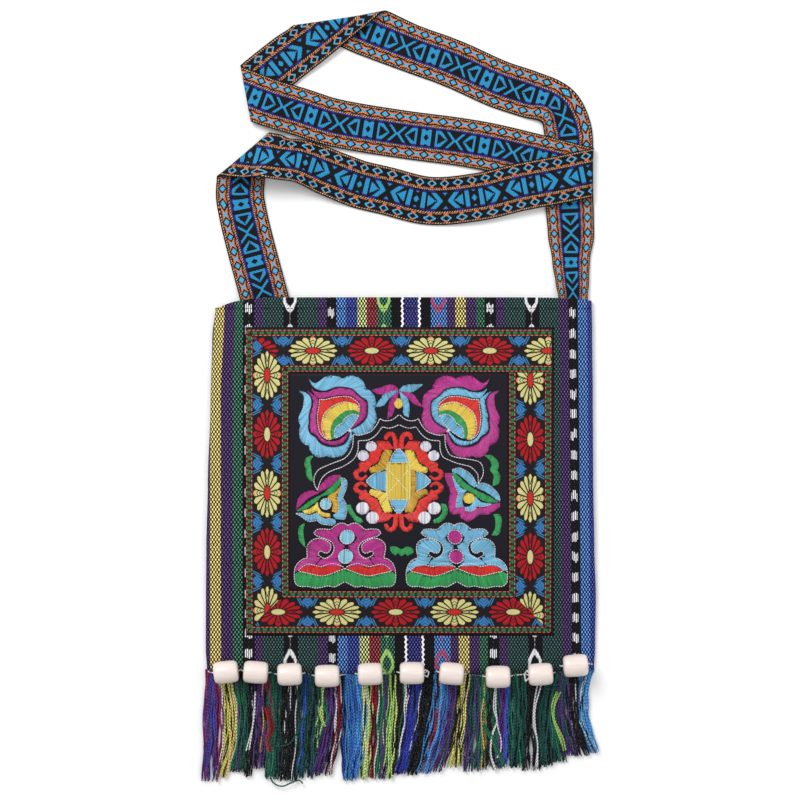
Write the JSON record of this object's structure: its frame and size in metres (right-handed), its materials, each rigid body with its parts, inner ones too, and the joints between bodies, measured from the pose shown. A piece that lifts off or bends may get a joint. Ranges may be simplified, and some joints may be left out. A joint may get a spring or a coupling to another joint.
{
  "type": "embroidered shoulder bag",
  "caption": "Square striped cloth shoulder bag laid flat, with embroidered panel, flowered ribbon frame, wooden beads, fringe and a folded patterned strap.",
  "frame": {"origin": "centre of the back of the cloth bag, on the surface that it lies on", "axes": "+X to the right of the bag seen from its front, +Y from the hem to the mouth, +Z out of the front, upwards as the bag lies"},
  "size_m": [0.2751, 0.5401, 0.0198],
  "materials": {
    "striped_cloth": "matte",
    "panel_satin": "satin",
    "flower_ribbon": "matte",
    "strap_webbing": "matte",
    "bead_wood": "satin",
    "bead_thread": "matte",
    "fringe_yarn": "matte"
  },
  "bodies": {
    "root": {"bag_body": "striped_cloth", "embroidered_panel": "panel_satin", "ribbon_top": "flower_ribbon", "ribbon_left": "flower_ribbon", "ribbon_bottom": "flower_ribbon", "ribbon_right": "flower_ribbon", "shoulder_strap": "strap_webbing", "bead_01": "bead_wood", "bead_02": "bead_wood", "bead_03": "bead_wood", "bead_04": "bead_wood", "bead_05": "bead_wood", "bead_06": "bead_wood", "bead_07": "bead_wood", "bead_08": "bead_wood", "bead_09": "bead_wood", "bead_10": "bead_wood", "bead_thread": "bead_thread", "fringe": "fringe_yarn"}
  },
  "joints": []
}
